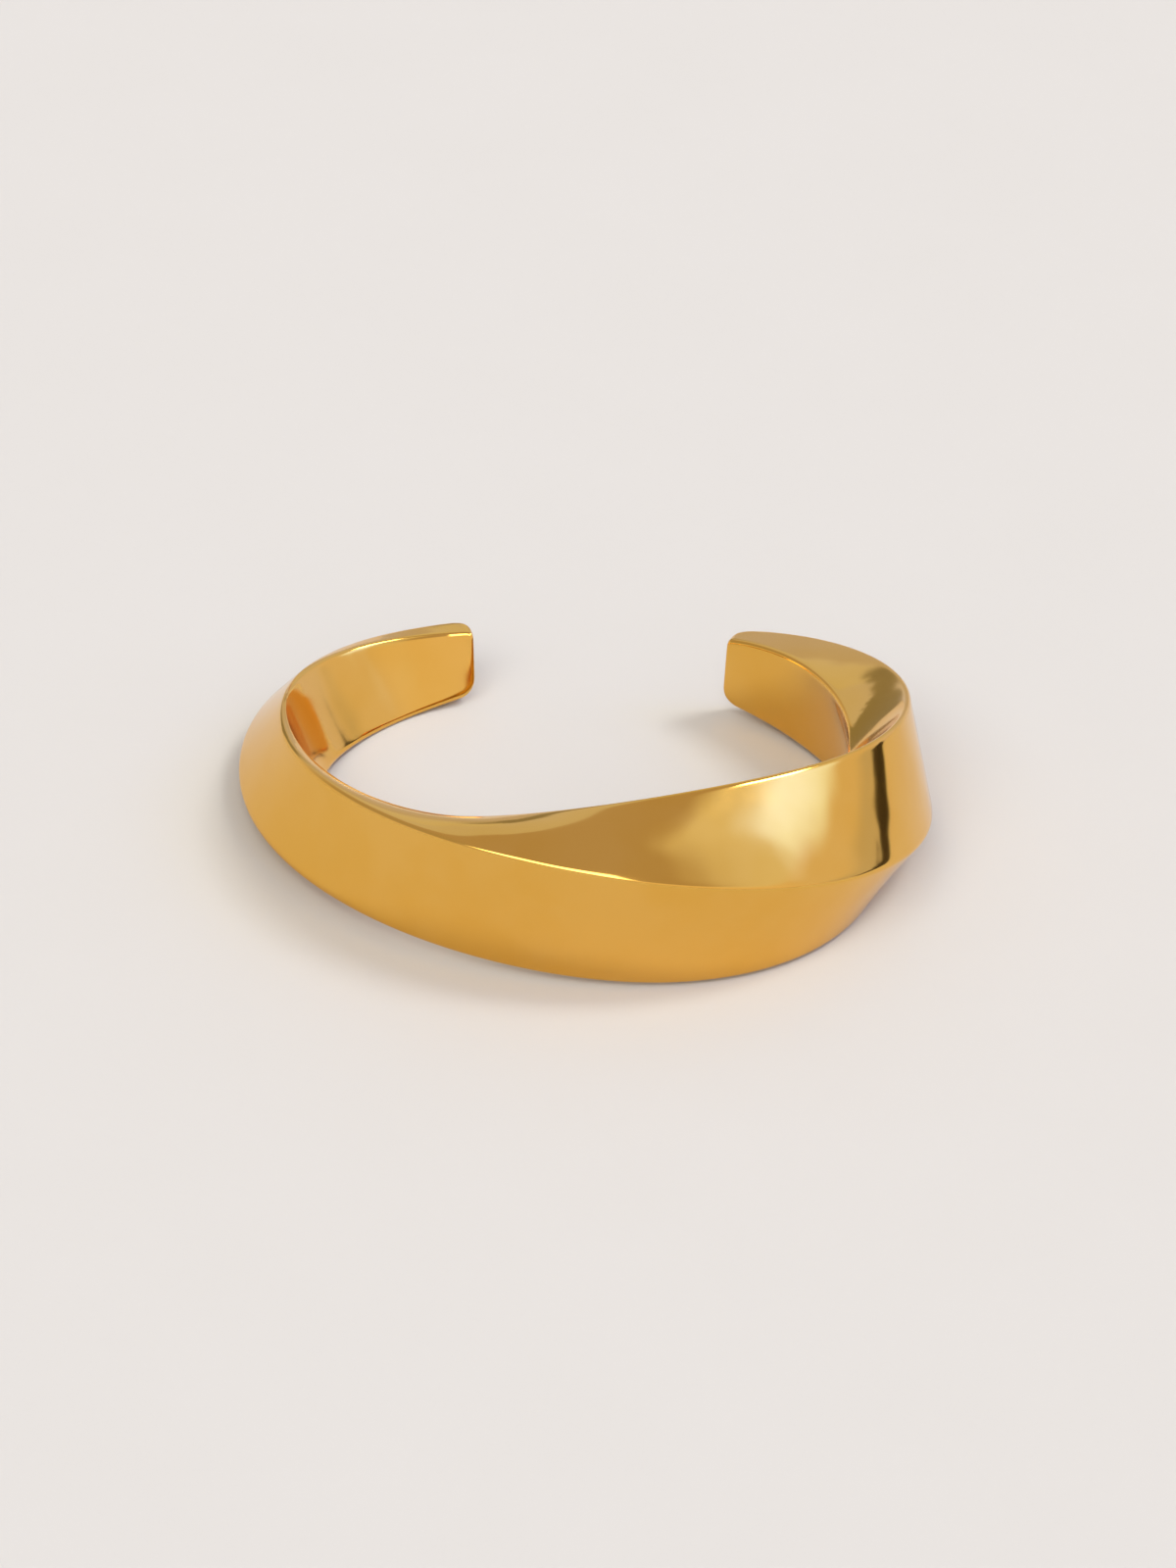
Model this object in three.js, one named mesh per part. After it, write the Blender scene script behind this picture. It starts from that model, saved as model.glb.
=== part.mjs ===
// A solid open cuff made of one twisted bar, in millimetres, +Z up, lying on its lower edges.
// The bar follows an oval round the wrist, with its front at -Y and a gap at the back, +Y.
// Four edge lines run along it from the left end to the right end: crown and ridge start as the
// upper edges, foot and rib as the lower ones. On the way the section between them swells and
// turns over by a quarter turn, so the broad face outside at the left ends up below at the right.

import * as THREE from "three";
import { NURBSCurve } from "three/addons/curves/NURBSCurve.js";

// The oval that the bar follows: half its width along X and half its depth along Y.
const ovalHalfWidth = 29;
const ovalHalfDepth = 27;

// The sections that steer the edge lines. turn is the angle in degrees round the oval from the
// front, positive to the right. Each edge has its distance out from the oval, then its height.
const sections = [
  { turn: -149, crown: [1.4, 7.8], ridge: [4.4, 7.8], foot: [2.2, 0.9], rib: [-1.2, 1.3] },
  { turn: -132, crown: [6.2, 6.5], ridge: [9.0, 5.3], foot: [11.1, 4.6], rib: [-1.4, -1.8] },
  { turn: -98, crown: [6.4, 11.4], ridge: [4.3, 10.9], foot: [10.8, 2.5], rib: [-0.2, 1.4] },
  { turn: -48, crown: [-3.8, 9.6], ridge: [1.4, 14.9], foot: [4.1, 2.1], rib: [-2.1, 5.3] },
  { turn: 3, crown: [-6.1, 19.1], ridge: [2.4, 16.0], foot: [1.0, -1.0], rib: [-2.8, 8.3] },
  { turn: 54, crown: [-4.2, 21.5], ridge: [7.3, 11.1], foot: [5.6, -0.6], rib: [-3.5, 10.9] },
  { turn: 104, crown: [6.5, 16.5], ridge: [8.9, 2.6], foot: [1.0, -0.3], rib: [-0.9, 12.1] },
  { turn: 138, crown: [9.9, 10.1], ridge: [8.7, -0.1], foot: [1.5, 0.4], rib: [0.6, 12.4] },
  { turn: 155, crown: [3.0, 9.8], ridge: [2.8, 1.8], foot: [0.1, 2.2], rib: [0.3, 10.2] },
];
const edgeNames = ["crown", "ridge", "foot", "rib"];
const edgeDegree = 3;

// Roundings: along the edge lines, and round each end face on its four sides.
const edgeRadius = { crown: 0.4, ridge: 0.55, foot: 0.5, rib: 0.4 };
const endRadius = { top: 0.6, bottom: 1.7, inner: 0.3, outer: 1.5 };

// The side from crown to ridge swells by this much at its middle, halfway along the bar. The swelling
// dies away towards both ends, and the other three sides are flat across.
const upperSwell = 0.65;

// The end faces lean from square to the bar, towards facing each other across the gap: the outer
// edges reach further than the inner ones. The lean dies away over this length.
const endLean = THREE.MathUtils.degToRad(10);
const leanLength = 10;

// How finely the bar is divided: stretches along it, steps in the rounding of an end, and steps
// across the swollen side and across a flat one.
const stretchCount = 58;
const endSteps = 7;
const swollenSteps = 4;
const flatSteps = 2;

// The least reach of an edge's rounding, its most as a share of the side, and how far from the
// rounding a side's first and last points lie.
const leastReach = 0.06;
const mostShare = 0.4;
const sideMargin = 0.5;

// An edge line as a smooth curve whose coordinates are turn, distance out and height.
function edgeLine(name) {
  const spanCount = sections.length - edgeDegree;
  const knots = [];
  for (let index = -edgeDegree; index <= spanCount + edgeDegree; index += 1) {
    knots.push(THREE.MathUtils.clamp(index, 0, spanCount));
  }
  const controls = sections.map((row) => new THREE.Vector4(row.turn, ...row[name], 1));
  return new NURBSCurve(edgeDegree, knots, controls);
}

// The point at an angle round the oval, a distance out from it and a height.
function ovalPoint(angle, out, up) {
  const outward = new THREE.Vector3(
    ovalHalfDepth * Math.sin(angle),
    -ovalHalfWidth * Math.cos(angle),
    0,
  ).normalize();
  const point = new THREE.Vector3(ovalHalfWidth * Math.sin(angle), -ovalHalfDepth * Math.cos(angle), up);
  return point.addScaledVector(outward, out);
}

// The bar's length along the oval, from the first section to the last.
const meanRadius = (ovalHalfWidth + ovalHalfDepth) / 2;
const barLength = THREE.MathUtils.degToRad(sections.at(-1).turn - sections[0].turn) * meanRadius;

// How much a quarter-round end of this radius takes off a side, this far in from the end.
function endInset(radius, distance) {
  const remaining = Math.max(radius - distance, 0);
  return radius - Math.sqrt(radius * radius - remaining * remaining);
}

// Distances along the bar at which it has a section: evenly, and closer where the ends are round.
function stations() {
  const deepest = Math.max(...Object.values(endRadius));
  const rounded = [];
  for (let step = 0; step <= endSteps; step += 1) {
    rounded.push(deepest * (1 - Math.cos((step / endSteps) * (Math.PI / 2))));
  }
  const between = [];
  for (let stretch = 1; stretch < stretchCount; stretch += 1) {
    between.push((barLength * stretch) / stretchCount);
  }
  return [...rounded, ...between, ...rounded.map((distance) => barLength - distance).reverse()];
}

// The four corners of the section this far along, drawn in by the roundings of the nearer end,
// where the section stands upright: two short sides at its top and bottom, two tall ones between.
function sectionCorners(lines, distance) {
  const corners = lines.map((line) => {
    const { y, z } = line.getPoint(distance / barLength);
    return new THREE.Vector2(y, z);
  });
  const toEnd = Math.min(distance, barLength - distance);
  return corners.map((corner, index) => {
    const before = corners[(index + 3) % 4].clone().sub(corner);
    const after = corners[(index + 1) % 4].clone().sub(corner);
    const [short, tall] = [before, after].sort((a, b) => a.length() - b.length());
    const shortRadius = short.x < 0 ? endRadius.outer : endRadius.inner;
    const tallRadius = tall.y < 0 ? endRadius.top : endRadius.bottom;
    short.setLength(endInset(shortRadius, toEnd));
    tall.setLength(endInset(tallRadius, toEnd));
    return corner.clone().add(short).add(tall);
  });
}

// The section's outline: a rounded corner in three points, then the points along the side after it.
function roundedOutline(corners, swell) {
  const outline = [];
  const roundings = corners.map((corner, index) => {
    const before = corners[(index + 3) % 4].clone().sub(corner);
    const after = corners[(index + 1) % 4].clone().sub(corner);
    const halfAngle = Math.acos(before.dot(after) / (before.length() * after.length())) / 2;
    const room = mostShare * Math.min(before.length(), after.length());
    const radius = edgeRadius[edgeNames[index]];
    const reach = THREE.MathUtils.clamp(radius / Math.tan(halfAngle), leastReach, room);
    const start = corner.clone().add(before.setLength(reach));
    const end = corner.clone().add(after.setLength(reach));
    const weight = Math.sin(halfAngle);
    const middle = corner.clone().multiplyScalar(2 * weight).add(start).add(end);
    return { start, middle: middle.divideScalar(2 * weight + 2), end };
  });
  roundings.forEach(({ start, middle, end }, index) => {
    const next = roundings[(index + 1) % 4].start;
    const margin = Math.min(sideMargin / end.distanceTo(next), 0.25);
    const outward = new THREE.Vector2(end.y - next.y, next.x - end.x).normalize();
    const steps = index === 0 ? swollenSteps : flatSteps;
    outline.push(start, middle, end);
    for (let step = 0; step <= steps; step += 1) {
      const share = margin + ((1 - 2 * margin) * step) / steps;
      const rise = index === 0 ? 4 * share * (1 - share) * swell : 0;
      outline.push(end.clone().lerp(next, share).addScaledVector(outward, rise));
    }
  });
  return outline;
}

// The angle round the oval of a point this far along the bar and out from the oval.
function leaningAngle(turn, distance, out) {
  const toEnd = Math.min(distance, barLength - distance);
  const share = Math.max(1 - toEnd / leanLength, 0) ** 2;
  const shift = (share * out * Math.tan(endLean)) / meanRadius;
  return THREE.MathUtils.degToRad(turn) + (distance < barLength / 2 ? -shift : shift);
}

// The bar as one closed surface: rings of points joined along it, and a fan of faces at each end.
function barGeometry() {
  const lines = edgeNames.map(edgeLine);
  const positions = [];
  const faces = [];
  const rings = stations().map((distance) => {
    const turn = lines[0].getPoint(distance / barLength).x;
    const swell = upperSwell * Math.sin((Math.PI * distance) / barLength) ** 2;
    const outline = roundedOutline(sectionCorners(lines, distance), swell);
    return outline.map(({ x, y }) => ovalPoint(leaningAngle(turn, distance, x), x, y));
  });
  const ringSize = rings[0].length;
  rings.flat().forEach((point) => positions.push(...point));
  const corner = (ring, index) => ring * ringSize + (index % ringSize);
  for (let ring = 0; ring < rings.length - 1; ring += 1) {
    for (let index = 0; index < ringSize; index += 1) {
      faces.push(corner(ring, index), corner(ring, index + 1), corner(ring + 1, index + 1));
      faces.push(corner(ring, index), corner(ring + 1, index + 1), corner(ring + 1, index));
    }
  }
  for (const end of [0, rings.length - 1]) {
    const centre = new THREE.Vector3();
    rings[end].forEach((point) => centre.addScaledVector(point, 1 / ringSize));
    const middle = positions.length / 3;
    positions.push(...centre);
    for (let index = 0; index < ringSize; index += 1) {
      const [first, second] = end === 0 ? [index + 1, index] : [index, index + 1];
      faces.push(middle, corner(end, first), corner(end, second));
    }
  }
  const geometry = new THREE.BufferGeometry();
  geometry.setAttribute("position", new THREE.Float32BufferAttribute(positions, 3));
  geometry.setIndex(faces);
  return geometry;
}

// The origin is below the middle of the cuff's box, on the surface that the cuff lies on.
function standOnOrigin(geometry) {
  geometry.computeBoundingBox();
  const middle = geometry.boundingBox.getCenter(new THREE.Vector3());
  geometry.translate(-middle.x, -middle.y, -geometry.boundingBox.min.z);
  geometry.computeVertexNormals();
  return geometry;
}

const polishedGold = new THREE.MeshStandardMaterial({ color: 0xd9a043, roughness: 0.18, metalness: 1 });
const cuff = new THREE.Mesh(standOnOrigin(barGeometry()), polishedGold);
cuff.name = "cuff";

const bangle = new THREE.Group();
bangle.add(cuff);

export default bangle;
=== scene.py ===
import math

import bpy
from mathutils import Matrix, Vector


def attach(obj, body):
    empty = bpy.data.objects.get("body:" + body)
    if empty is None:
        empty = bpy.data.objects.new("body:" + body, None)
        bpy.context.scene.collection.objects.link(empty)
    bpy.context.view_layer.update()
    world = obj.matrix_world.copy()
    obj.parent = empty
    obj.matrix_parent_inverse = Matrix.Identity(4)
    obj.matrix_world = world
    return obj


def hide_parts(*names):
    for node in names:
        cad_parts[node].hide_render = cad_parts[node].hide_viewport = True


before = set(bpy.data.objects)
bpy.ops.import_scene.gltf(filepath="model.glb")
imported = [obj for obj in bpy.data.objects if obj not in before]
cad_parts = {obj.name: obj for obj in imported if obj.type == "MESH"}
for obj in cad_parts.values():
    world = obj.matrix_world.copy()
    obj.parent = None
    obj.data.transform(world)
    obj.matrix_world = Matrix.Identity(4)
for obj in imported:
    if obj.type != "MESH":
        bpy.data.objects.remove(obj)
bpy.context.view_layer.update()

millimetresPerMetre = 1000
scene = bpy.context.scene
scene.view_settings.view_transform = "Standard"
print("frame: loaded", sorted(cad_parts))


# A node's output. A sum written with it becomes Math nodes.
class Wire:
    def __init__(self, board, socket):
        self.board = board
        self.socket = socket

    def maths(self, operation, first, second=0.0):
        return self.board.add("ShaderNodeMath", {"operation": operation}, {0: first, 1: second})["Value"]

    def __add__(self, other):
        return self.maths("ADD", self, other)

    def __radd__(self, other):
        return self.maths("ADD", other, self)

    def __sub__(self, other):
        return self.maths("SUBTRACT", self, other)

    def __rsub__(self, other):
        return self.maths("SUBTRACT", other, self)

    def __mul__(self, other):
        return self.maths("MULTIPLY", self, other)

    def __rmul__(self, other):
        return self.maths("MULTIPLY", other, self)

    def above(self, low, high):  # 0 below low, 1 above high, smooth between
        settings = {"interpolation_type": "SMOOTHSTEP"}
        sockets = {"Value": self, "From Min": low, "From Max": high}
        return self.board.add("ShaderNodeMapRange", settings, sockets)["Result"]


# The nodes of one material, or of the world.
class Board:
    def __init__(self, owner):
        owner.use_nodes = True
        self.tree = owner.node_tree
        self.tree.nodes.clear()

    def socketNamed(self, sockets, name):
        if isinstance(name, int):
            return sockets[name]
        return next(socket for socket in sockets if socket.enabled and socket.name == name)

    def add(self, kind, settings={}, sockets={}):
        node = self.tree.nodes.new(kind)
        for name, value in settings.items():
            setattr(node, name, value)
        for name, value in sockets.items():
            socket = self.socketNamed(node.inputs, name)
            if isinstance(value, Wire):
                self.tree.links.new(value.socket, socket)
            else:
                socket.default_value = value
        return {output.name: Wire(self, output) for output in node.outputs if output.enabled}

    def noise(self, coordinates, scale, detail=2.0, distortion=0.0):
        sockets = {"Vector": coordinates, "Scale": scale, "Detail": detail, "Distortion": distortion}
        return self.add("ShaderNodeTexNoise", {}, sockets)["Fac"]

    def mixed(self, share, first, second):
        sockets = {"Factor": share, "A": first, "B": second}
        return self.add("ShaderNodeMix", {"data_type": "RGBA"}, sockets)["Result"]

    def vector(self, operation, first, second=(0, 0, 0)):
        outputs = self.add("ShaderNodeVectorMath", {"operation": operation}, {0: first, 1: second})
        return outputs["Value" if operation == "DOT_PRODUCT" else "Vector"]

    def bump(self, height):
        return self.add("ShaderNodeBump", {}, {"Distance": 1.0, "Height": height})["Normal"]

    # Joins one main shader with these sockets to the material's output.
    def finish(self, sockets):
        surface = self.add("ShaderNodeBsdfPrincipled", {}, sockets)["BSDF"]
        self.add("ShaderNodeOutputMaterial", {}, {"Surface": surface})

    def millimetres(self):
        place = self.add("ShaderNodeTexCoord")["Object"]
        sockets = {"Vector": place, "Scale": [millimetresPerMetre] * 3}
        return self.add("ShaderNodeMapping", {}, sockets)["Vector"]


def deselectAll():
    if bpy.context.mode != "OBJECT":
        bpy.ops.object.mode_set(mode="OBJECT")
    bpy.ops.object.select_all(action="DESELECT")


def makeActive(piece):
    deselectAll()
    piece.select_set(True)
    bpy.context.view_layer.objects.active = piece


def applyModifier(piece, kind, **settings):
    makeActive(piece)
    modifier = piece.modifiers.new(kind.title(), kind)
    for name, value in settings.items():
        setattr(modifier, name, value)
    bpy.ops.object.modifier_apply(modifier=modifier.name)


# The gold: warm, polished by hand, so its reflections swim a little and show a fine grain.
gold = {
    "deep": (0.80, 0.445, 0.080, 1),
    "pale": (0.82, 0.470, 0.100, 1),
    "toneScale": 0.09,
    "toneSpan": (0.35, 0.65),
    "roughness": 0.085,
    "smudgeRoughness": 0.045,
    "smudgeScale": 0.16,
    "smudgeTwist": 0.6,
    "smudgeSpan": (0.4, 0.75),
    "waveScale": 0.14,
    "waveHeight": 0.00012,
    "grainScale": 3.2,
    "grainHeight": 0.0000006,
}


def goldMaterial():
    material = bpy.data.materials.new("polishedGold")
    board = Board(material)
    place = board.millimetres()
    tone = board.noise(place, gold["toneScale"], detail=3.0).above(*gold["toneSpan"])
    smudge = board.noise(place, gold["smudgeScale"], detail=4.0, distortion=gold["smudgeTwist"])
    grain = board.noise(place, gold["grainScale"], detail=3.0)
    wave = board.noise(place, gold["waveScale"], detail=1.0)
    bump = board.bump(gold["waveHeight"] * wave + gold["grainHeight"] * grain)
    sockets = {
        "Base Color": board.mixed(tone, gold["deep"], gold["pale"]),
        "Metallic": 1.0,
        "Roughness": gold["roughness"] + gold["smudgeRoughness"] * smudge.above(*gold["smudgeSpan"]),
        "Normal": bump,
    }
    board.finish(sockets)
    return material


# The cuff keeps the frame's own form, rounded finer: its long edges stay crisp and narrow.
cuffForm = {"mergeDistance": 1e-6, "joinAngle": math.radians(35), "levels": 2}


def makeCuff():
    cuff = bpy.data.objects.new("twistedCuff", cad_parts["cuff"].data.copy())
    scene.collection.objects.link(cuff)
    makeActive(cuff)
    bpy.ops.object.mode_set(mode="EDIT")
    bpy.ops.mesh.select_all(action="SELECT")
    bpy.ops.mesh.customdata_custom_splitnormals_clear()
    bpy.ops.mesh.remove_doubles(threshold=cuffForm["mergeDistance"])
    bpy.ops.mesh.tris_convert_to_quads(
        face_threshold=cuffForm["joinAngle"], shape_threshold=cuffForm["joinAngle"]
    )
    bpy.ops.object.mode_set(mode="OBJECT")
    triangles = sum(len(face.vertices) == 3 for face in cuff.data.polygons)
    print("cuff:", len(cuff.data.polygons), "faces,", triangles, "of them triangles")
    applyModifier(cuff, "SUBSURF", levels=cuffForm["levels"], render_levels=cuffForm["levels"])
    bpy.ops.object.shade_smooth()
    cuff.data.materials.clear()
    cuff.data.materials.append(goldMaterial())
    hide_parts("cuff")
    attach(cuff, "root")
    print("cuff: finished with", len(cuff.data.polygons), "faces")


# The floor: smooth pale paper with a faint tooth.
paper = {
    "size": 8.0,
    "light": (0.638, 0.611, 0.542, 1),
    "dark": (0.626, 0.599, 0.528, 1),
    "toneScale": 0.05,
    "roughness": 0.9,
    "gloss": 0.2,
    "toothScale": 2.2,
    "toothHeight": 0.00001,
}


def makeFloor():
    deselectAll()
    bpy.ops.mesh.primitive_plane_add(size=paper["size"])
    floor = bpy.context.object
    floor.name = "paperFloor"
    material = bpy.data.materials.new("palePaper")
    board = Board(material)
    place = board.millimetres()
    tone = board.noise(place, paper["toneScale"], detail=4.0)
    tooth = board.noise(place, paper["toothScale"], detail=3.0)
    sockets = {
        "Base Color": board.mixed(tone, paper["dark"], paper["light"]),
        "Roughness": paper["roughness"],
        "Specular IOR Level": paper["gloss"],
        "Normal": board.bump(paper["toothHeight"] * tooth),
    }
    board.finish(sockets)
    floor.data.materials.append(material)
    print("floor: laid")


# The camera: azimuth to the right of the front, height above level, and a slight roll. It looks at
# aim from a distance, both in metres, and its lens is in millimetres.
view = {
    "azimuth": math.radians(4.54),
    "elevation": math.radians(33.66),
    "roll": math.radians(3.62),
    "distance": 0.96,
    "aim": Vector((0.00059, 0.00016, 0.00657)),
    "lens": 205.7,
}


def addCamera():
    camera = bpy.data.objects.new("viewCamera", bpy.data.cameras.new("viewCamera"))
    scene.collection.objects.link(camera)
    camera.data.lens = view["lens"]
    turn = Matrix.Rotation(view["azimuth"], 4, "Z")
    turn = turn @ Matrix.Rotation(math.pi / 2 - view["elevation"], 4, "X")
    turn = turn @ Matrix.Rotation(view["roll"], 4, "Z")
    away = Matrix.Translation((0, 0, view["distance"]))
    camera.matrix_world = Matrix.Translation(view["aim"]) @ turn @ away
    scene.camera = camera
    print("camera: placed")


# The studio round the cuff: a dim ceiling, pale walls and large soft panels. A panel's azimuth is from
# the front, to the right. side is its half width where it is full and where it has faded away, and
# low and high are its heights above level, from the bottom up. All are in degrees. The ragged ones
# are draped cloth and the dark gaps under it, so their upper and lower edges waver.
studio = {
    "ceiling": (0.54, 0.48, 0.49),
    "walls": (0.80, 0.77, 0.76),
    "wallTop": (10, 42),
    "panels": [
        {"azimuth": 100, "side": (25, 55), "low": (5, 12), "high": (34, 40), "glow": (0.83, 0.79, 0.84)},
        {"azimuth": 30, "side": (35, 60), "low": (8, 16), "high": (34, 40), "glow": (0.92, 0.86, 0.86)},
        {"azimuth": 104, "side": (10, 20), "low": (-4, -2), "high": (10, 18), "glow": (0.66, 0.67, 0.82)},
        {"azimuth": 144, "side": (19, 25), "low": (-4, -2), "high": (14, 26), "glow": (0.80, 0.80, 1.06)},
        {"azimuth": 95, "side": (9, 53), "low": (30, 36), "high": (72, 88), "glow": (0.86, 0.92, 1.15)},
        {"azimuth": 104, "side": (3, 9), "low": (23, 32), "high": (36, 44), "glow": (1.05, 1.35, 2.4)},
        {"azimuth": 98, "side": (3, 17), "low": (25, 42), "high": (48, 66), "glow": (1.23, 1.75, 4.4)},
        {"azimuth": 118, "side": (8, 13), "low": (46, 50), "high": (66, 70), "glow": (17.0, 17.0, 17.0)},
        {"azimuth": -80, "side": (30, 50), "low": (12, 24), "high": (50, 75), "glow": (0.5, 0.46, 0.45)},
        {"azimuth": -16, "side": (26, 34), "low": (30, 35), "high": (60, 66), "glow": (4.6, 4.6, 4.6)},
    ],
    "ragged": [
        {"azimuth": 180, "side": (35, 38), "low": (-9, -8), "high": (49, 52), "glow": (0.70, 0.74, 0.95)},
        {"azimuth": 180, "side": (14, 16), "low": (-9, -8), "high": (17, 20), "glow": (0.62, 0.62, 0.66)},
        {"azimuth": 180, "side": (14, 16), "low": (17, 20), "high": (49, 52), "glow": (0.74, 0.78, 0.84)},
        {"azimuth": -149, "side": (10, 12), "low": (-9, -8), "high": (21, 23), "glow": (0.32, 0.32, 0.28)},
        {"azimuth": -160, "side": (7, 9), "low": (11, 13), "high": (21, 23), "glow": (0.32, 0.32, 0.28)},
        {"azimuth": 122, "side": (3.5, 4), "low": (-9, -8), "high": (6.8, 7.2), "glow": (0.045, 0.04, 0.03)},
        {"azimuth": 110, "side": (10, 12), "low": (-9, -8), "high": (4, 4.6), "glow": (0.06, 0.05, 0.04)},
    ],
    "waver": 0.17,
    "waverScale": 30.0,
}


def lightStudio():
    world = bpy.data.worlds.new("studio")
    scene.world = world
    board = Board(world)
    facing = board.add("ShaderNodeTexCoord")["Generated"]
    rise = board.add("ShaderNodeSeparateXYZ", {}, {"Vector": facing})["Z"]
    flat = board.vector("MULTIPLY", facing, (1, 1, 0))
    level = board.vector("NORMALIZE", flat)

    def over(light, panel, height):
        turn = math.radians(panel["azimuth"])
        towards = board.vector("DOT_PRODUCT", level, (math.sin(turn), -math.cos(turn), 0))
        full, gone = (math.cos(math.radians(angle)) for angle in panel["side"])
        low, high = ([math.sin(math.radians(angle)) for angle in panel[side]] for side in ("low", "high"))
        share = towards.above(gone, full) * height.above(*low) * (1 - height.above(*high))
        return board.mixed(share, light, (*panel["glow"], 1))

    wallTop = [math.sin(math.radians(angle)) for angle in studio["wallTop"]]
    light = board.mixed(rise.above(*wallTop), (*studio["walls"], 1), (*studio["ceiling"], 1))
    for panel in studio["panels"]:
        light = over(light, panel, rise)
    waver = (board.noise(facing, studio["waverScale"], detail=4.0) - 0.5) * studio["waver"]
    for panel in studio["ragged"]:
        light = over(light, panel, rise + waver)
    glow = board.add("ShaderNodeBackground", {}, {"Color": light})["Background"]
    board.add("ShaderNodeOutputWorld", {}, {"Surface": glow})
    print("light: studio with", len(studio["panels"]) + len(studio["ragged"]), "panels")


makeCuff()
makeFloor()
addCamera()
lightStudio()
